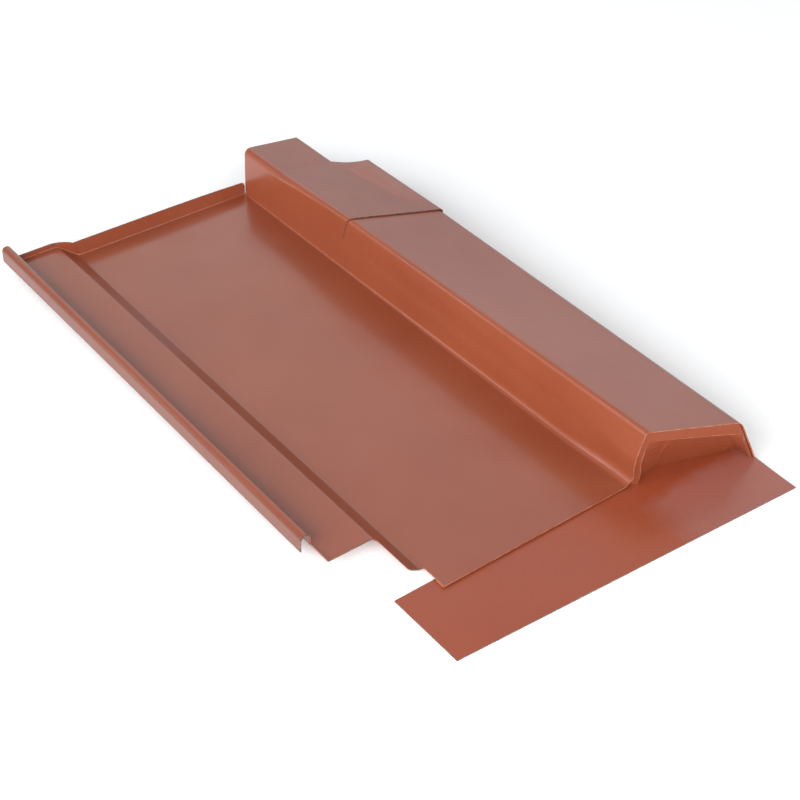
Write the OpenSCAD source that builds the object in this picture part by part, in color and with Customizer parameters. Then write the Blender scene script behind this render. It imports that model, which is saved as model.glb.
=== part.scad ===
// Metal roof tile sheet: a flat folded steel pan with a water hook on the left, a hollow tapered
// rib on the right that is slit and lapped near its rear end, a plate that closes the rib's nose,
// and a soft strip that lies under the pan's front hem and the rib's nose.
// Section coordinates: x to the right from the pan's free left edge, y back from the pan's front
// edge, z up from the pan's upper face.

/* [Sheet metal] */
// Thickness of the folded steel sheet
sheet_t = 0.7; // [0.5:0.05:1]
// Air between two leaves that are lapped or folded together
lap_gap = 0.3; // [0.2:0.05:0.5]
// Inside radius of a sharp machine fold
fold_r = 1.2; // [1:0.1:2]

/* [Pan] */
// Width of the pan from its free left edge to the foot of the rib
pan_w = 133; // [110:1:160]
// Length of the pan from its front edge to its rear flange
pan_l = 400; // [350:1:470]
// Depth of the hem folded under the pan's front edge
hem_depth = 7.6; // [6:0.1:12]

/* [Step, shelf and hook] */
// Distance from the pan's free left edge to the foot of the step
step_inset = 2.6; // [2:0.1:8]
// Width of the sloping step
step_run = 9; // [5:0.1:12]
// Height of the shelf above the pan
shelf_rise = 5; // [3.5:0.1:7]
// Width of the flat shelf between the step and the hook
shelf_w = 29.7; // [20:0.1:45]
// Distance from the pan's front edge to the cut end of the step
step_setback = 17.7; // [12:0.1:30]
// Distance from the pan's front edge to the shelf's front edge
shelf_setback = 48; // [40:0.5:58]
// Distance from the pan's front edge to the open front end of the hook
hook_setback = 64; // [60:0.5:80]
// Height of the hook above the shelf
hook_h = 8.7; // [7:0.1:14]
// Overall width of the hook over its top bend
hook_w = 6.3; // [6:0.1:10]
// Height of the hook's outer leg
hook_leg = 10.5; // [8:0.5:15]
// Outward slant of the hook's outer leg
hook_flare = 0.4; // [0:0.1:2]
// Length of the hook behind the rear flange
hook_tail = 20; // [15:0.5:26]
// Radius of the inner corner of the hook's rear end, seen from above
hook_end_r = 1; // [0.5:0.1:3]

/* [Rear flange] */
// Height of the rear flange above the pan
flange_h = 10.5; // [8:0.5:16]
// Drop of the rear flange's free edge towards the rib
flange_fall = 1.5; // [0:0.1:3]
// Lean of the rear flange away from the pan
flange_lean = 6; // [0:1:15]
// Open slot between the rear flange and the rib
flange_slot = 0.4; // [0.3:0.1:4]
// Radius of the rear flange's free corner beside the rib
flange_corner_r = 2.5; // [2:0.5:6]
// Length of the shelf behind the pan's rear edge
shelf_tail = 11; // [7:0.5:13]
// Height of the rear flange above the shelf
shelf_flange_h = 3.8; // [3:0.1:8]
// Sideways lean of the flange's crease where it turns back along the step
crease_lean = 4; // [1:0.5:6]

/* [Rib] */
// Height of the rib's left top edge at its nose
nose_h = 40.5; // [35:0.5:48]
// Width of the rib's top at its nose
nose_w = 57; // [49:0.5:66]
// Drop of the rib's top from left to right
top_fall = 8; // [4:0.5:10]
// Lean of the left wall at the nose, from foot to top
nose_wall_lean = 3.6; // [2:0.1:6]
// Width from the rib's left foot to its right foot
rib_w = 76.5; // [73:0.5:90]
// Slant of the nose in plan
nose_skew = 19.3; // [10:0.1:22]
// Forward lean of the nose at its top
nose_rake = 5.7; // [2:0.1:9]
// Inside radius of the bend between the pan and the rib at the nose
nose_foot_r = 5; // [3:0.1:6]
// Radius of the rib's top corners
corner_r = 3; // [2:0.1:4]
// Radius of the nose's right top corner
nose_right_r = 7; // [4:0.5:9]

/* [Cap and head] */
// Distance from the pan's front edge to the cap's front edge at its left
cap_y = 272.5; // [230:0.5:280]
// Slant of the cap's front edge in plan
cap_skew = 16.4; // [8:0.1:18]
// Rearward slant of the cap's front edge from its top to its foot
cap_slant = 19; // [0:1:25]
// Lean of the cap's left wall
cap_wall_lean = 0.3; // [0:0.1:1.5]
// Width of the cap's top
cap_w = 67; // [58:0.5:72]
// Height of the cap's left top edge at its front
cap_h = 42; // [37:0.5:50]
// Drop of the cap's top from left to right at its front
cap_fall = 9; // [6:0.5:11]
// Length of the rib's tongue that lies under the cap
tongue_l = 25; // [15:1:35]
// Share of the left wall's height that the slit runs down
slit_share = 0.52; // [0.25:0.01:0.6]
// Length of the head, from the pan's rear edge to the cross crease
head_l = 43; // [30:1:55]
// Lean of the head's left wall
head_wall_lean = 1.8; // [0.5:0.1:3]
// Width of the head's top
head_w = 45.5; // [38:0.5:54]
// Radius of the head's left top corner
head_left_r = 4.5; // [3:0.5:6]
// Outward run of the head's right wall from its top edge to its foot
head_right_run = 6; // [2:0.5:12]
// Height of the head's left top edge
head_h = 36.5; // [32:0.5:43]
// Drop of the head's top from left to right
head_fall = 6; // [4:0.5:8]
// Distance of the top's soft valley from the right top edge, at the cap's front edge and the nose
valley_in = 10; // [6:0.5:16]
// Length of the sloping shoulder between the cap and the head
shoulder_l = 17; // [12:1:24]
// Sag of the shoulder's right edge at its middle
shoulder_sag = 1.5; // [0:0.1:3]

/* [End plate] */
// Height of the plate's rim band at the left end of the nose's top
band_h = 6.5; // [5:0.5:9]
// Height of the plate's rim band at the right end of the nose's top
band_right_h = 9; // [5:0.5:11]
// Width of the plate's rim band along its left side
band_w = 4.2; // [2.5:0.1:6]
// Width of the plate's rim band along its right side
band_right_w = 1.5; // [1:0.1:4]
// Distance that the plate is set in behind the rib's edge
plate_inset = 1; // [0.5:0.1:2]
// Depth of the plate's foot behind the rib's edge, at its left end
scoop_left = 13.5; // [9:0.5:17]
// Depth of the plate's foot behind the rib's edge, at its right end
scoop_right = 12; // [6:0.5:14]
// Width of the plate's left side wall at its foot
side_w = 5; // [3:0.5:8]
// Depth of the plate's left side wall behind the rib's edge, at its foot
side_depth = 6.7; // [4:0.1:9]
// Width of the plate's left side wall and left cheek together, at their foot
cheek_w = 23; // [16:1:28]
// Width of the left cheek at the top of the face
cheek_top = 10; // [5:0.5:12]
// Width of the right cheek at the top of the face
cheek_right_top = 9; // [3:0.5:11]
// Radius of the folds between the face and its cheeks
cheek_r = 3; // [2:0.5:5]
// Depth of the flange that seats the plate inside the rib
seat_depth = 7; // [5:0.5:12]

/* [Apron] */
// Thickness of the soft strip
apron_t = 0.6; // [0.4:0.05:0.7]
// Reach of the strip in front of the pan, at its left end
apron_reach = 44; // [30:1:60]
// Slant of the strip's front edge in plan
apron_skew = 3.2; // [0:0.2:5]
// Reach of the strip past the pan's free left edge
apron_left = 26.5; // [15:0.5:40]

/* [Hidden] */
// Facets along each bend
bend_steps = 6;
// Reach of the cutting bodies past the sheet
clear = 40;
paint = "#a8603f";

// Two leaves of sheet and the air between them make the hem, and a lapped leaf steps out by one
hem_h = 2 * sheet_t + lap_gap;
lap_step = sheet_t + lap_gap;
foot_z = -hem_h;

// Left side of the section, from the foot of the step outwards
step_x = -step_inset;
shelf_x = step_x - step_run;
hook_x = shelf_x - shelf_w;
hook_top = shelf_rise + hook_h;
hook_r = 0.48 * hook_w;
step_r = 3;
notch_r = 2;
notch_x = shelf_x + 0.2 * step_run;
rim_r = corner_r - lap_step;
rim_right_r = nose_right_r - lap_step;
hook_length = pan_l + hook_tail;
left_clear = hook_x - hook_w - clear;

// The pan's plain strip meets the rib's sheet here, clear of the bend at the rib's foot
seam_room = 1;
seam_x = pan_w - nose_foot_r - seam_room;

// The strip ends here and the rear flange goes on: behind the pan, and further back behind the shelf
flange_y = pan_l - fold_r - sheet_t;
flange_end_x = pan_w - flange_slot;
jog_x = step_x + step_r / 2;
jog_end_x = shelf_x - step_r / 2;
jog_turn = atan2(shelf_tail, jog_x - jog_end_x);
jog_shift = (pan_l - flange_y) * tan(jog_turn / 2);

// Keys along the rib
tongue_y = cap_y + tongue_l;
head_y = pan_l - head_l;
shoulder_y = head_y - shoulder_l;
slit_z = cap_h * (1 - slit_share);
valley_head_in = corner_r;
right_x = pan_w + rib_w;

// The strip under the hem
apron_tuck = 1;
apron_back = hem_depth + apron_tuck;
apron_w = apron_left + right_x;

// Middle of the whole part in plan, over the hook, the rib's foot, the strip and the hook's tail
apron_front = -apron_reach - tan(apron_skew) * apron_w;
mid_x = (hook_x - hook_w - hook_flare + right_x + lap_step) / 2;
mid_y = (apron_front + pan_l + hook_tail) / 2;

function unit(v) = v / norm(v);
function left_of(v) = [-v[1], v[0]];
function turned(v, a) = [v[0] * cos(a) - v[1] * sin(a), v[0] * sin(a) + v[1] * cos(a)];
function mix(a, b, k) = a + (b - a) * k;
function share(v, low, high) = max(0, min(1, (v - low) / (high - low)));

// The corner at b of the path a, b, c as an arc of radius r
function bend(a, b, c, r) =
    let (u = unit(b - a), v = unit(c - b))
    let (angle = atan2(u[0] * v[1] - u[1] * v[0], u * v), side = sign(angle))
    let (centre = b - u * r * tan(abs(angle) / 2) + left_of(u) * side * r)
    [for (k = [0:bend_steps]) centre - turned(left_of(u), angle * k / bend_steps) * side * r];

// A path through its corners, each inner corner bent to its radius or, with no radius, left sharp
function folded(p, radii) = [
    p[0],
    for (i = [1:len(p) - 2]) each radii[i - 1] > 0 ? bend(p[i - 1], p[i], p[i + 1], radii[i - 1]) : [p[i]],
    p[len(p) - 1]
];

// The same corner as bend, for a path in space
function bend_3d(a, b, c, r) =
    let (u = unit(b - a), v = unit(c - b), angle = acos(u * v), n = unit(v - u * (u * v)))
    let (centre = b - u * r * tan(angle / 2) + n * r)
    [for (k = [0:bend_steps]) let (t = angle * k / bend_steps) centre - n * r * cos(t) + u * r * sin(t)];

// A path with points added so that none are further apart than most
function filled(p, most) = [
    for (i = [0:len(p) - 2])
        let (n = ceil(norm(p[i + 1] - p[i]) / most))
        for (k = [0:n - 1]) mix(p[i], p[i + 1], k / n),
    p[len(p) - 1]
];

// Height of a section path at x
function height_at(x, p) =
    [for (i = [0:len(p) - 2]) if (p[i][0] <= x && x <= p[i + 1][0])
        mix(p[i][1], p[i + 1][1], share(x, p[i][0], p[i + 1][0]))][0];

// Point at the share k of a smooth curve from a to d that leaves a towards b and comes to d from c
function curve(a, b, c, d, k) =
    mix(mix(mix(a, b, k), mix(b, c, k), k), mix(mix(b, c, k), mix(c, d, k), k), k);

// The path moved to its right side by t, with parallel flanks
function leaf(p, t) =
    let (last = len(p) - 1)
    let (n = [for (i = [0:last - 1]) left_of(unit(p[i + 1] - p[i]))])
    [for (i = [0:last])
        let (a = n[max(i - 1, 0)], b = n[min(i, last - 1)])
        p[i] - (a + b) * t / (1 + a * b)];

function cross_at(p, u, q, v) =
    p + u * ((q[0] - p[0]) * v[1] - (q[1] - p[1]) * v[0]) / (u[0] * v[1] - u[1] * v[0]);

// The same with the last end, or both, cut level at the height of the path's own end
function level_end(p, t) =
    let (q = leaf(p, t), last = len(p) - 1)
    [for (i = [0:last]) i < last ? q[i] : cross_at(q[i], p[i] - p[i - 1], p[i], [1, 0])];
function level_ends(p, t) =
    let (q = level_end(p, t))
    [for (i = [0:len(p) - 1]) i > 0 ? q[i] : cross_at(q[0], p[1] - p[0], p[0], [1, 0])];

// A section path set at a height along Y that follows a plane: at y on the line x0, z0
function row(p, y, x0, z0, skew, rake) =
    [for (q = p) [q[0], y - (q[0] - x0) * tan(skew) - (q[1] - z0) * tan(rake), q[1]]];

function two(a, b, c, d) = [[a, b, c], [a, c, d]];

// A sheet between two grids of points with as many rows and columns: an upper and a lower face
module loft(upper, lower) {
    rows = len(upper);
    cols = len(upper[0]);
    size = rows * cols;
    points = concat([for (r = upper) each r], [for (r = lower) each r]);
    function at(i, j) = i * cols + j;
    function under(i, j) = size + i * cols + j;
    faces = [
        for (i = [0:rows - 2], j = [0:cols - 2]) each
            two(at(i, j), at(i + 1, j), at(i + 1, j + 1), at(i, j + 1)),
        for (i = [0:rows - 2], j = [0:cols - 2]) each
            two(under(i, j), under(i, j + 1), under(i + 1, j + 1), under(i + 1, j)),
        for (j = [0:cols - 2]) each two(at(0, j), at(0, j + 1), under(0, j + 1), under(0, j)),
        for (j = [0:cols - 2], i = [rows - 1]) each
            two(at(i, j + 1), at(i, j), under(i, j), under(i, j + 1)),
        for (i = [0:rows - 2]) each two(at(i + 1, 0), at(i, 0), under(i, 0), under(i + 1, 0)),
        for (i = [0:rows - 2], j = [cols - 1]) each
            two(at(i, j), at(i + 1, j), under(i + 1, j), under(i, j))
    ];
    polyhedron(points, faces, convexity = 8);
}

// Left side and pan: one section along Y

function side_path() = folded([
    [hook_x - hook_w - hook_flare, hook_top - hook_leg],
    [hook_x - hook_w, hook_top],
    [hook_x, hook_top],
    [hook_x, shelf_rise],
    [shelf_x, shelf_rise],
    [step_x, 0],
    [seam_x, 0]
], [hook_r, hook_r, fold_r, step_r, step_r]);

module side_section() {
    path = side_path();
    under = leaf(path, sheet_t);
    polygon([each path, for (i = [len(under) - 1:-1:0]) under[i]]);
}

// Outline in plan of what is cut away at the front left: past the pan's free edge, the step's end,
// the shelf's front edge and the hook's open end
module front_notch() {
    edge = folded([
        [0, -clear],
        [0, step_setback],
        [notch_x, step_setback],
        [notch_x, shelf_setback],
        [hook_x, shelf_setback],
        [hook_x, hook_setback],
        [left_clear, hook_setback]
    ], [notch_r / 4, notch_r, 2 * notch_r, notch_r / 2, notch_r / 4]);
    polygon([each edge, [left_clear, -clear]]);
}

// Outline in plan of what is cut away behind the pan and the shelf: only the hook goes on, and its
// inner corner is rounded
module rear_notch() {
    edge = folded([
        [seam_x + clear, flange_y],
        [jog_x, flange_y],
        [jog_end_x, flange_y + shelf_tail],
        [hook_x, flange_y + shelf_tail],
        [hook_x, hook_length],
        [left_clear, hook_length]
    ], [0, 0, 0, hook_end_r]);
    polygon([each edge, [left_clear, hook_length + clear], [seam_x + clear, hook_length + clear]]);
}

module side_strip() {
    difference() {
        translate([0, hook_length, 0])
            rotate([90, 0, 0])
            linear_extrude(hook_length) side_section();
        translate([0, 0, -clear])
            linear_extrude(2 * clear) front_notch();
        translate([0, 0, -clear])
            linear_extrude(2 * clear) rear_notch();
    }
}

// Hem: the pan's front edge folded back under itself
module hem() {
    r = hem_h / 2;
    rotate([90, 0, 90])
        linear_extrude(seam_x) translate([r, -r]) {
            difference() {
                circle(r, $fn = 32);
                circle(r - sheet_t, $fn = 32);
                translate([0, -hem_h]) square(2 * hem_h);
            }
            translate([0, -r]) square([hem_depth - r, sheet_t]);
        }
}

// Rear flange: the pan and shelf turned up behind, with a jog at the step and a slot beside the rib.
// Each station along it is a path from the cut line back over the fold and up to the free edge.

// Free edge over the pan: it falls ever faster towards the rib and is rounded off beside it
function free_h(x) =
    let (over = max(0, x - flange_end_x + flange_corner_r))
    flange_h - flange_fall * share(x, 0, flange_end_x) ^ 4 - flange_corner_r
        + sqrt(flange_corner_r ^ 2 - over ^ 2);

// Free edge over the step: it turns back from the pan's flange and runs out into the shelf's
function jog_edge(k) =
    let (pan_end = [jog_x - crease_lean, pan_l + tan(flange_lean) * flange_h, flange_h])
    let (shelf_y = pan_l + shelf_tail + tan(flange_lean) * shelf_flange_h)
    let (shelf_end = [jog_end_x - crease_lean, shelf_y, shelf_rise + shelf_flange_h])
    let (ease_out = [-crease_lean / 2, crease_lean, 0], ease_in = [crease_lean, 0, 0])
    curve(pan_end, pan_end + ease_out, shelf_end + ease_in, shelf_end, k);

function cut_y(x) = flange_y + shelf_tail * share(x, jog_x, jog_end_x);

// Station at the point p of the section, over the section path side. Towards the rib it leans as the
// head's wall does, so that the slot stays as narrow at its top.
function flange_station(p, side) =
    let (x = p[0], k = share(x, jog_x, jog_end_x), on_jog = x <= jog_x && x >= jog_end_x)
    let (fold_x = on_jog ? x + jog_shift : x)
    let (start = [x, cut_y(x), p[1]])
    let (corner = [fold_x, cut_y(x) + pan_l - flange_y, on_jog ? height_at(fold_x, side) : p[1]])
    let (slot_lean = head_wall_lean * free_h(x) / head_h * share(x, 0, flange_end_x))
    let (over_pan = [x + slot_lean, pan_l + tan(flange_lean) * free_h(x), free_h(x)])
    let (top = on_jog ? jog_edge(k) : x > jog_x ? over_pan : [x, jog_edge(1)[1], jog_edge(1)[2]])
    [start, each bend_3d(start, corner, top, fold_r), top];

module rear_flange() {
    side = [for (p = side_path()) if (p[0] >= hook_x - 0.01 && p[1] <= shelf_rise + 0.01) p];
    over_step = [
        [jog_end_x, shelf_rise],
        for (p = side) if (p[0] > jog_end_x && p[0] < jog_x) p,
        [jog_x, 0]
    ];
    run = [
        [hook_x - sheet_t / 2, shelf_rise],
        for (p = side) if (p[0] > hook_x + fold_r / 2 && p[0] < jog_end_x) p,
        each filled(over_step, 1.5 * fold_r),
        for (k = [1:bend_steps]) [mix(jog_x, flange_end_x - flange_corner_r, k / (bend_steps + 1)), 0],
        for (k = [0:bend_steps]) [flange_end_x - flange_corner_r * cos(90 * k / bend_steps), 0]
    ];
    under = leaf(run, sheet_t);
    stations = [for (p = run) flange_station(p, side)];
    last = len(run) - 1;
    rows = len(stations[0]);
    upper = [for (i = [0:rows - 1]) [for (j = [0:last]) stations[j][i]]];
    function normal(i, j) = unit(cross(
        upper[min(i + 1, rows - 1)][j] - upper[i - 1][j],
        upper[i][min(j + 1, last)] - upper[i][max(j - 1, 0)]
    ));
    loft(upper, [
        [for (p = under) [p[0], cut_y(p[0]), p[1]]],
        for (i = [1:rows - 1]) [for (j = [0:last]) upper[i][j] + normal(i, j) * sheet_t]
    ]);
}

// Rib: stations along Y, each a folded section from the pan to the right foot

// Corners of a station: pan seam, foot, a point on the wall at the slit's foot, left top edge, the
// valley in the top at x and a slope below the left top edge, right top edge, right foot
function corners(lean, h, w, fall, right, valley_x, slope) =
    [[seam_x, 0], [pan_w, 0], [pan_w + lean * slit_z / h, slit_z], [pan_w + lean, h],
        [valley_x, h - slope * (valley_x - pan_w - lean)], [pan_w + lean + w, h - fall], [right, foot_z]];

// Corners of the cap and head at y: left of the valley the top falls evenly to the head, right of it
// the top keeps its edge level up to the shoulder, which narrows it to the head
function cap_corners(y) =
    let (k = share(y, cap_y, head_y), s = share(y, shoulder_y, head_y))
    let (h = mix(cap_h, head_h, k), head_low = head_h - head_fall)
    let (low = mix(cap_h - cap_fall, head_low, s) - shoulder_sag * sin(180 * s))
    let (lean = mix(cap_wall_lean, head_wall_lean, k))
    let (cap_top_x = pan_w + cap_wall_lean + cap_w, head_top_x = pan_w + head_wall_lean + head_w)
    corners(lean, h, mix(cap_top_x, head_top_x, s) - pan_w - lean, h - low,
        mix(right_x + lap_step, head_top_x + head_right_run, s),
        mix(cap_top_x - valley_in, head_top_x - valley_head_in, k),
        mix(cap_fall / cap_w, head_fall / head_w, k));

// The front run keeps one step inside the cap, and their walls are one below the slit
function lapped(c) = [c[0], c[1], c[2], c[3] + [lap_step, -lap_step], c[4] - [0, lap_step],
    c[5] - [lap_step, lap_step], c[6] - [lap_step, 0]];
function on_wall(c, front) = [c[0], c[1], front[1] + (front[3] - front[1]) * slit_z / front[3][1],
    c[3], c[4], c[5], c[6]];

function fold_of(c, foot_r, left_r, right_r) =
    let (foot = bend(c[0], c[1], c[2], foot_r))
    let (left = bend(c[2], c[3], c[4], left_r), right = bend(c[4], c[5], c[6], right_r))
    [c[0], each foot, c[2], each left, c[4], each right, c[6]];

nose_corners = corners(nose_wall_lean, nose_h, nose_w, top_fall, right_x,
    pan_w + nose_wall_lean + nose_w - valley_in, top_fall / nose_w);

function cap_row(p, y) = row(p, y, pan_w, cap_h, cap_skew, cap_slant);
function nose_row(p, back) =
    [for (q = row(p, back, pan_w, 0, nose_skew, nose_rake)) [q[0], min(q[1], 0), q[2]]];

module front_run() {
    cap_front = lapped(cap_corners(cap_y));
    tongue_end = lapped(cap_corners(tongue_y));
    nose = fold_of(nose_corners, nose_foot_r, corner_r, nose_right_r);
    mid = fold_of(on_wall(cap_front, cap_front), fold_r, corner_r, corner_r);
    rear = fold_of(on_wall(tongue_end, tongue_end), fold_r, corner_r, corner_r);
    loft(
        [nose_row(nose, 0), cap_row(mid, cap_y), cap_row(rear, tongue_y)],
        [nose_row(level_end(nose, sheet_t), 0), cap_row(level_end(mid, sheet_t), cap_y),
            cap_row(level_end(rear, sheet_t), tongue_y)]
    );
}

module rear_run() {
    function section(y) =
        let (c = cap_corners(y), left_r = mix(corner_r, head_left_r, share(y, tongue_y, head_y)))
        fold_of(on_wall(c, y > tongue_y ? c : lapped(c)), fold_r, left_r, corner_r);
    slanted = [cap_y, tongue_y];
    square_on = [for (k = [0:bend_steps]) mix(shoulder_y, head_y, k / bend_steps), pan_l];
    loft(
        [for (y = slanted) cap_row(section(y), y), for (y = square_on) row(section(y), y, 0, 0, 0, 0)],
        [for (y = slanted) cap_row(level_end(section(y), sheet_t), y),
            for (y = square_on) row(level_end(section(y), sheet_t), y, 0, 0, 0, 0)]
    );
}

module roof_sheet() {
    color(paint) {
        side_strip();
        hem();
        rear_flange();
        front_run();
        rear_run();
    }
}

// End plate: a rim band with a flange that seats it inside the rib, and a face that slopes back to
// its foot between two cheeks

// Corners of the nose's section moved in from its walls and its top, cut level at the foot
function inset_corners(left_w, left_h, right_h, right_w) =
    let (a = nose_corners[1], b = nose_corners[3], c = nose_corners[5], d = nose_corners[6])
    let (u = unit(b - a), up = left_of(unit(c - b)), w = unit(d - c))
    let (left = a - left_of(u) * left_w, right = c - left_of(w) * right_w)
    let (top = b - up * left_h, v = unit(c - up * right_h - top))
    [cross_at(left, u, d, [1, 0]), cross_at(left, u, top, v), cross_at(top, v, right, w),
        cross_at(right, w, d, [1, 0])];

// The same inside the rim band, for a band that starts at an inset from the rib's outside
function band_corners(inset) =
    inset_corners(inset + band_w, inset + band_h, inset + band_right_h, inset + band_right_w);

function plate_point(p, back) = row([p], back, pan_w, 0, nose_skew, nose_rake)[0];

module plate_rim() {
    outer = folded(inset_corners(lap_step, lap_step, lap_step, lap_step), [rim_r, rim_right_r]);
    opening = band_corners(lap_step);
    inner = folded(opening, [rim_r, rim_r]);
    function ring(p, back) = [for (q = p) plate_point(q, back)];
    loft(
        [ring(inner, plate_inset), ring(outer, plate_inset), ring(outer, plate_inset + seat_depth)],
        [ring(inner, plate_inset + sheet_t), ring(level_ends(outer, sheet_t), plate_inset + sheet_t),
            ring(level_ends(outer, sheet_t), plate_inset + seat_depth)]
    );
}

module plate_scoop() {
    // The face starts inside the rim band, so that the two are one
    c = band_corners(lap_step - sheet_t);
    along = unit(c[2] - c[1]);
    function plan(p, back) = let (q = plate_point(p, back)) [q[0], q[1]];
    function fold_top(p) = [for (k = [0:bend_steps]) p + along * cheek_r * (k / bend_steps - 1 / 2)];
    foot_line = folded([
        plan(c[0], plate_inset),
        plan(c[0] + [side_w, 0], side_depth),
        plan(c[0] + [cheek_w, 0], scoop_left),
        plan(c[3], scoop_right),
        plan(c[3], plate_inset)
    ], [0, cheek_r, cheek_r]);
    head_line = [
        c[1],
        c[1] + along * sheet_t,
        each fold_top(c[1] + along * cheek_top),
        each fold_top(c[2] - along * cheek_right_top),
        c[2]
    ];
    foot = [for (p = foot_line) [p[0], p[1], foot_z]];
    head = [for (p = head_line) plate_point(p, plate_inset)];
    last = len(foot) - 1;
    front = [for (i = [0:bend_steps]) [for (j = [0:last]) mix(foot[j], head[j], i / bend_steps)]];
    function normal(i, j) =
        unit(cross(front[i][min(j + 1, last)] - front[i][max(j - 1, 0)], head[j] - foot[j]));
    loft(front, [for (i = [0:bend_steps]) [for (j = [0:last]) front[i][j] - normal(i, j) * sheet_t]]);
}

module rib_end_plate() {
    color(paint) {
        plate_rim();
        plate_scoop();
    }
}

// Apron: the plain soft strip under the hem and the rib's nose
module front_apron() {
    color(paint)
        translate([0, 0, foot_z - apron_t])
        linear_extrude(apron_t)
        polygon([
            [-apron_left, apron_back],
            [-apron_left, -apron_reach],
            [right_x, apron_front],
            [right_x, apron_back]
        ]);
}

module placed() {
    translate([-mid_x, -mid_y, apron_t - foot_z]) children();
}

placed() roof_sheet();
placed() rib_end_plate();
placed() front_apron();
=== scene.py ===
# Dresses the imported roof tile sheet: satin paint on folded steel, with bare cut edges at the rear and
# painted highlights along the edges at the front, painted shade on the hook's outer side, and a painted
# apron with a patch of painted sheen, on a pale studio floor in soft light.
import math

import bmesh
import bpy
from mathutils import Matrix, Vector, noise


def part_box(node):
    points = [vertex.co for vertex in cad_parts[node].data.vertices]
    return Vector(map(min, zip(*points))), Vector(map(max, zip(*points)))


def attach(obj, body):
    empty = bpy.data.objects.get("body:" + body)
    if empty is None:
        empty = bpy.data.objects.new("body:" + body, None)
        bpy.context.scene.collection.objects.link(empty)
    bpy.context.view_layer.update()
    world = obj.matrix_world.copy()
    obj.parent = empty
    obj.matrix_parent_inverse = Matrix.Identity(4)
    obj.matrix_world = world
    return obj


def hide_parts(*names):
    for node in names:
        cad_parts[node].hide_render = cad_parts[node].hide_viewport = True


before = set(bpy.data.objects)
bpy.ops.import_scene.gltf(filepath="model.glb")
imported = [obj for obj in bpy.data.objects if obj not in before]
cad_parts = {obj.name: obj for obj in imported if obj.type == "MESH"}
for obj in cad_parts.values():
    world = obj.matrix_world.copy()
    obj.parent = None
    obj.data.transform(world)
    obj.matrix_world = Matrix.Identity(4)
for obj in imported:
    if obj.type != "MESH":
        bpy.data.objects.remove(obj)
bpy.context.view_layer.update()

MM = 0.001

# The pan's front left corner, from which the section coordinates below are counted in millimetres:
# x across the pan, y up the slope, z above the pan's upper face
APRON_LEFT = 26.5
HOOK_END = 420.0
PAN_LIFT = 2.3
PAN_CORNER = Vector((
    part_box("front_apron")[0].x + APRON_LEFT * MM,
    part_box("roof_sheet")[1].y - HOOK_END * MM,
    PAN_LIFT * MM,
))


def ease(value, low, high):
    """0 below low, 1 above high, and smooth between them."""
    t = max(0.0, min(1.0, (value - low) / (high - low)))
    return t * t * (3 - 2 * t)


# Camera: stands front left of the pan and looks down on it

CAMERA_FROM_CORNER = Vector((-382.0, -466.6, 601.1)) * MM
CAMERA_DOWN = math.radians(38.3)
CAMERA_HEADING = math.radians(37.09)  # from +Y towards +X
CAMERA_LENS = 72.08


def make_camera():
    data = bpy.data.cameras.new("camera")
    data.lens = CAMERA_LENS
    data.sensor_width = 36
    data.clip_start = 0.01
    camera = bpy.data.objects.new("camera", data)
    camera.location = PAN_CORNER + CAMERA_FROM_CORNER
    camera.rotation_euler = (math.pi / 2 - CAMERA_DOWN, 0, -CAMERA_HEADING)
    bpy.context.scene.collection.objects.link(camera)
    bpy.context.scene.camera = camera


# Studio

FLOOR_SIZE = 12
FLOOR_WHITE = (0.95, 0.95, 0.95, 1)
FLOOR_GLOW = 0.07  # keeps the floor close to white
LIGHT_DISTANCE = 2.0
WORLD_COLOUR = (0.95, 0.98, 1, 1)
WORLD_STRENGTH = 0.31


def make_floor():
    bpy.ops.mesh.primitive_plane_add(size=FLOOR_SIZE, location=(0, 0, 0))
    floor = bpy.context.object
    floor.name = "studio_floor"
    material = bpy.data.materials.new("pale_floor")
    material.use_nodes = True
    shader = material.node_tree.nodes["Principled BSDF"]
    shader.inputs["Base Color"].default_value = FLOOR_WHITE
    shader.inputs["Roughness"].default_value = 0.9
    shader.inputs["Specular IOR Level"].default_value = 0.0
    shader.inputs["Emission Color"].default_value = (1, 1, 1, 1)
    shader.inputs["Emission Strength"].default_value = FLOOR_GLOW
    floor.data.materials.append(material)


def soft_box(name, heading, height, size, radiance, colour=(1, 1, 1)):
    """A rectangular light that faces the part from a heading and a height, both in degrees.

    The heading counts from +Y towards +X. The light's size is in metres.
    """
    data = bpy.data.lights.new(name, "AREA")
    data.shape = "RECTANGLE"
    data.size, data.size_y = size
    data.energy = radiance * size[0] * size[1] * math.pi
    data.color = colour
    light = bpy.data.objects.new(name, data)
    a, e = math.radians(heading), math.radians(height)
    towards = Vector((math.cos(e) * math.sin(a), math.cos(e) * math.cos(a), math.sin(e)))
    light.location = towards * LIGHT_DISTANCE
    light.rotation_euler = (-towards).to_track_quat("-Z", "Y").to_euler()
    bpy.context.scene.collection.objects.link(light)


def make_light():
    world = bpy.data.worlds.new("studio")
    world.use_nodes = True
    background = world.node_tree.nodes["Background"]
    background.inputs["Color"].default_value = WORLD_COLOUR
    background.inputs["Strength"].default_value = WORLD_STRENGTH
    bpy.context.scene.world = world
    soft_box("key_left", -99, 26, (2.5, 1.5), 4.95)
    soft_box("key_front", -160, 24, (2.1, 1.4), 3.3)
    soft_box("sheen_high", 37, 40, (2.3, 1.15), 0.90, (0.94, 0.97, 1))
    soft_box("sheen_low", 46, 16, (1.8, 1.1), 0.54, (0.8, 0.91, 1))
    soft_box("glint_front", 147, 38, (0.6, 0.4), 6.5)
    soft_box("glint_back", -45, 20, (0.4, 0.35), 4.5)


# Materials

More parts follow.
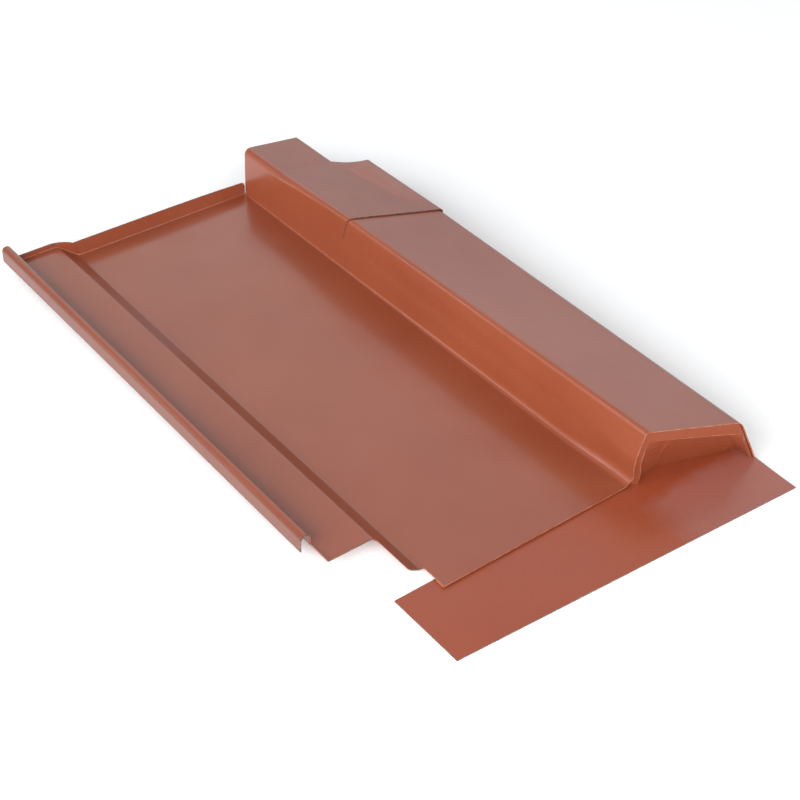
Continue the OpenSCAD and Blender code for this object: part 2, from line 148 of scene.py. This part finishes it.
class Nodes:
    """A material's node tree, with short calls to add and link nodes."""

    def __init__(self, name):
        self.material = bpy.data.materials.new(name)
        self.material.use_nodes = True
        self.tree = self.material.node_tree
        self.shader = self.tree.nodes["Principled BSDF"]
        self.place = self.add("ShaderNodeTexCoord").outputs["Object"]

    def add(self, kind, **settings):
        node = self.tree.nodes.new(kind)
        for key, value in settings.items():
            setattr(node, key, value)
        return node

    def link(self, value, socket):
        if hasattr(value, "is_output"):
            self.tree.links.new(value, socket)
        else:
            socket.default_value = value

    def noise(self, scale, detail=2.0, rough=0.5):
        node = self.add("ShaderNodeTexNoise")
        self.link(self.place, node.inputs["Vector"])
        node.inputs["Scale"].default_value = scale
        node.inputs["Detail"].default_value = detail
        node.inputs["Roughness"].default_value = rough
        return node.outputs["Fac"]

    def math(self, operation, a, b):
        node = self.add("ShaderNodeMath", operation=operation)
        self.link(a, node.inputs[0])
        self.link(b, node.inputs[1])
        return node.outputs[0]

    def ramp(self, value, low, high, to_low=0.0, to_high=1.0):
        node = self.add("ShaderNodeMapRange")
        keys = ("Value", "From Min", "From Max", "To Min", "To Max")
        for key, given in zip(keys, (value, low, high, to_low, to_high)):
            self.link(given, node.inputs[key])
        return node.outputs[0]

    def mix(self, share, a, b, blend="MIX"):
        node = self.add("ShaderNodeMix", data_type="RGBA", blend_type=blend)
        self.link(share, node.inputs[0])
        self.link((*a, 1) if isinstance(a, tuple) else a, node.inputs[6])
        self.link((*b, 1) if isinstance(b, tuple) else b, node.inputs[7])
        return node.outputs[2]

    def bump(self, height, distance):
        node = self.add("ShaderNodeBump")
        node.inputs["Distance"].default_value = distance
        self.link(height, node.inputs["Height"])
        return node.outputs["Normal"]


# Painted colours, gloss and clear coat; patches is how many soft patches of tone lie in a metre
SHEET_PAINT = {
    "deep": (0.240, 0.0535, 0.0215), "light": (0.262, 0.0615, 0.025), "patches": 14,
    "rough": 0.33, "coat": 0.35, "coat_rough": 0.15,
}
APRON_PAINT = {
    "deep": (0.27, 0.050, 0.018), "light": (0.295, 0.060, 0.022), "patches": 9,
    "rough": 0.42, "coat": 0.2, "coat_rough": 0.18,
}
# A pale pinkish tint painted on the apron as a sheen: a painted reflection of the bright surroundings,
# not a colour of the paint
APRON_SHEEN_TINT = (0.30, 0.115, 0.095)
APRON_SHEEN_SHARE = 0.6
HOOK_SHADE_SHARE = 0.62  # painted shade: the share of the paint's brightness that is left on the hook's outer side


def powder_coat(name, paint, sheen_from=None, shade_to=None):
    """Satin paint in two close tones.

    A painted sheen, a pale pinkish tint that stands in for a reflection, lies right of and in front of
    the first given place, and painted shade darkens the paint left of the second given x.
    """
    n = Nodes(name)
    tone = n.mix(n.ramp(n.noise(paint["patches"], 3), 0.35, 0.65), paint["deep"], paint["light"])
    axes = n.add("ShaderNodeSeparateXYZ")
    n.link(n.place, axes.inputs["Vector"])
    x, y = axes.outputs["X"], axes.outputs["Y"]
    # Painted sheen: the apron turns toward the pale tint right of and in front of the given place, with
    # an uneven edge
    if sheen_from is not None:
        uneven = n.ramp(n.noise(60, 2), 0.3, 0.7, -3 * MM, 3 * MM)
        right = n.ramp(n.math("ADD", x, uneven), sheen_from[0], sheen_from[0] + 20 * MM)
        front = n.ramp(n.math("ADD", y, uneven), sheen_from[1], sheen_from[1] - 8 * MM)
        share = n.math("MULTIPLY", n.math("MULTIPLY", right, front), APRON_SHEEN_SHARE)
        tone = n.mix(share, tone, APRON_SHEEN_TINT)
    # Painted shade: the paint is darker left of the given x, on the hook's outer side
    if shade_to is not None:
        tone = n.mix(n.ramp(x, shade_to, shade_to + 1 * MM, HOOK_SHADE_SHARE, 1.0), (0, 0, 0), tone)
    flake = n.ramp(n.noise(1800, 1), 0.3, 0.7, 0.93, 1.07)
    rough = n.ramp(n.noise(35, 3), 0.3, 0.7, paint["rough"] - 0.04, paint["rough"] + 0.05)
    n.link(n.mix(1.0, tone, flake, "MULTIPLY"), n.shader.inputs["Base Color"])
    n.link(rough, n.shader.inputs["Roughness"])
    n.link(n.bump(n.noise(650, 2), 0.012 * MM), n.shader.inputs["Normal"])
    n.shader.inputs["Coat Weight"].default_value = paint["coat"]
    n.shader.inputs["Coat Roughness"].default_value = paint["coat_rough"]
    return n.material


def cut_edge(name):
    """Sheared steel: grey-brown zinc with bright speckles and paint dragged over it."""
    n = Nodes(name)
    fine = n.noise(900, 3, 0.7)
    grain = n.ramp(fine, 0.45, 0.62)
    paint = n.ramp(n.noise(60, 4, 0.6), 0.42, 0.58)
    metal = n.mix(grain, (0.10, 0.085, 0.07), (0.34, 0.31, 0.28))
    painted = n.mix(n.math("MULTIPLY", paint, 0.7), metal, (0.16, 0.045, 0.022))
    n.link(painted, n.shader.inputs["Base Color"])
    n.link(n.math("SUBTRACT", 0.85, paint), n.shader.inputs["Metallic"])
    n.link(n.ramp(grain, 0, 1, 0.5, 0.32), n.shader.inputs["Roughness"])
    n.link(n.bump(fine, 0.03 * MM), n.shader.inputs["Normal"])
    return n.material


def painted_edge_highlight(name):
    """Painted highlight along a folded edge: a lighter, glossy paint that stands in for the light the
    edge catches.
    """
    n = Nodes(name)
    highlight_share = n.ramp(n.noise(220, 3, 0.6), 0.4, 0.62)
    # Painted highlight: an uneven mix of two tones, both lighter than the paint
    n.link(n.mix(highlight_share, (0.30, 0.085, 0.042), (0.42, 0.19, 0.12)), n.shader.inputs["Base Color"])
    n.link(n.ramp(highlight_share, 0, 1, 0.36, 0.26), n.shader.inputs["Roughness"])
    n.shader.inputs["Coat Weight"].default_value = 0.5
    return n.material


# Skins: finer copies of the CAD nodes, shaded smooth over the bends and softly uneven as real sheet

SHEET_T = 0.7
CUT_WIDTH = 1.08 * SHEET_T * MM
SHARP = math.radians(40)
BARE_FROM = 14.0  # in section y; the edges in front of this are folded and get a painted highlight, the others are bare
WELD = 0.004 * MM
ON_PLANE = 0.01 * MM
FACE_BARE, FACE_HIGHLIT = 1, 2  # places in a skin's materials, after the paint of its faces


def cut_faces(b):
    """The faces along a sharp edge that are no wider than the sheet is thick, where it was cut."""
    found = []
    for face in b.faces:
        longest = max(edge.calc_length() for edge in face.edges)
        sharp = [edge.calc_length() for edge in face.edges if edge.calc_face_angle(0) > SHARP]
        if sharp and max(sharp) > 0.3 * longest and 2 * face.calc_area() < CUT_WIDTH * max(sharp):
            found.append(face)
    return found


def grid_cut(b, step):
    """Cuts all faces by planes that stand a step apart along each axis."""
    for axis in range(3):
        values = [v.co[axis] for v in b.verts]
        low, high = min(values), max(values)
        normal = Vector([1.0 if i == axis else 0.0 for i in range(3)])
        for k in range(1, int((high - low) / step) + 1):
            everything = b.verts[:] + b.edges[:] + b.faces[:]
            place = normal * (low + k * step)
            bmesh.ops.bisect_plane(b, geom=everything, dist=ON_PLANE, plane_co=place, plane_no=normal)


def skin(node_name, materials, step, shift):
    """Puts a copy in a CAD node's place: cut into a grid of this step in mm, then moved by shift.

    The materials are for the faces, the bare cut edges and the front edges with a painted highlight, in
    this order.
    """
    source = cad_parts[node_name].data
    b = bmesh.new()
    corners = [b.verts.new(v.co) for v in source.vertices]
    for polygon in source.polygons:
        b.faces.new([corners[i] for i in polygon.vertices])
    bmesh.ops.remove_doubles(b, verts=b.verts, dist=WELD)
    bmesh.ops.dissolve_degenerate(b, edges=b.edges, dist=WELD)
    bmesh.ops.recalc_face_normals(b, faces=b.faces)
    # Cut edges behind BARE_FROM are bare metal; those in front get a painted highlight
    for face in cut_faces(b):
        behind = (face.calc_center_median() - PAN_CORNER).y > BARE_FROM * MM
        face.material_index = FACE_BARE if behind else FACE_HIGHLIT
    grid_cut(b, step * MM)
    for vert in b.verts:
        place = (vert.co - PAN_CORNER) / MM
        vert.co += Vector(shift(*place)) * MM
    for face in b.faces:
        face.smooth = True
    for edge in b.edges:
        edge.smooth = edge.calc_face_angle(math.pi) < SHARP
    mesh = bpy.data.meshes.new(node_name + "_skin")
    b.to_mesh(mesh)
    b.free()
    piece = bpy.data.objects.new(node_name + "_skin", mesh)
    bpy.context.scene.collection.objects.link(piece)
    for material in materials:
        mesh.materials.append(material)
    weighted = piece.modifiers.new("even_normals", "WEIGHTED_NORMAL")
    weighted.keep_sharp = True
    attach(piece, "root")
    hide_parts(node_name)


# How far the skins depart from the solids; all of it in section millimetres
BOW, SMALL_BOW = 0.28, 0.08
FOOT_OUT, BELLY_IN = 2.0, 1.2
SLOT_CLOSED = 0.33
CHEEK_CREASES = (157.0, 199.0)
CREASE_LEAN, CREASE_WIDTH, CREASE_OUT = 0.11, 1.7, 0.55
SWELL, RIPPLE = 1.5, 0.35
APRON_MIDDLE = -2.0  # lies between the strip's underside and its upper face


def wave(x, y, length, seed):
    """A soft random height between about -1 and 1 that changes over this length."""
    return noise.noise(Vector((x, y, 0)) / length + Vector((seed, -seed, 2 * seed)))


def sheet_shift(x, y, z):
    """Flat faces bow a little between their folds, and the nose's left edge swings out at its foot."""
    on_pan = ease(x, 8, 30) * (1 - ease(x, 100, 124)) * ease(y, 8, 45) * (1 - ease(y, 355, 392))
    on_top = ease(z, 26, 30) * ease(x, 142, 152) * (1 - ease(x, 176, 190)) * (1 - ease(y, 370, 395))
    bow = BOW * wave(x, y, 95, 3.1) + SMALL_BOW * wave(x, y, 34, 7.7)
    near_nose = (1 - ease(y, 8, 55)) * ease(x, 112, 131) * (1 - ease(x, 140, 165))
    foot = FOOT_OUT * (1 - ease(z, 2, 18))
    belly = BELLY_IN * ease(z, 6, 18) * (1 - ease(z, 24, 37))
    across = (foot - belly) * near_nose
    if y > 396 and z > 1.5 and x < 132.8 + 0.05 * z:
        across += SLOT_CLOSED * ease(x, 118, 132)  # the flange's end nearly touches the head
    return across, 0.0, bow * (on_pan + on_top) if z > -1 else 0.0


def plate_shift(x, y, z):
    """The plate follows the nose, and its face stands out a little along the creases of its cheeks."""
    ridge = 0.0
    for crease in CHEEK_CREASES:
        ridge += math.exp(-((x - crease + CREASE_LEAN * z) / CREASE_WIDTH) ** 2)
    on_face = ease(z, -1, 4) * (1 - ease(z, 22, 30))
    return sheet_shift(x, y, z)[0], -CREASE_OUT * ridge * on_face, 0.0


def apron_shift(x, y, z):
    """The soft strip swells in front of the nose's right half and ripples a little elsewhere."""
    if z < APRON_MIDDLE:
        return 0.0, 0.0, 0.0
    free = ease(y, -57, -46) * (1 - ease(y, -14, -4))
    swell = SWELL * ease(y, -50, -16) * (1 - ease(y, -13, -3)) * ease(x, 138, 172)
    ripple = RIPPLE * (wave(x, 1.6 * y, 46, 5.3) + 0.4) * free
    return 0.0, 0.0, max(0.0, swell + ripple)


# Grid steps of the skins in millimetres
SHEET_STEP, PLATE_STEP, APRON_STEP = 8, 1.6, 7


def dress():
    hook_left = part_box("roof_sheet")[0].x
    apron_low, apron_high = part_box("front_apron")
    # Where the apron's painted sheen begins
    sheen_from = (apron_high.x - 88 * MM, apron_low.y + 45 * MM)
    # The sheet's paint, with painted shade on the hook's outer side
    sheet = powder_coat("copper_brown_coat", SHEET_PAINT, shade_to=hook_left + 1 * MM)
    apron = powder_coat("copper_brown_apron", APRON_PAINT, sheen_from=sheen_from)
    bare = cut_edge("cut_edge")
    # Painted highlight for the cut edges at the front
    highlit = painted_edge_highlight("painted_edge_highlight")
    skin("roof_sheet", (sheet, bare, highlit), SHEET_STEP, sheet_shift)
    skin("rib_end_plate", (sheet, bare, highlit), PLATE_STEP, plate_shift)
    skin("front_apron", (apron, bare, bare), APRON_STEP, apron_shift)


make_camera()
make_floor()
make_light()
dress()
bpy.context.scene.view_settings.view_transform = "Standard"
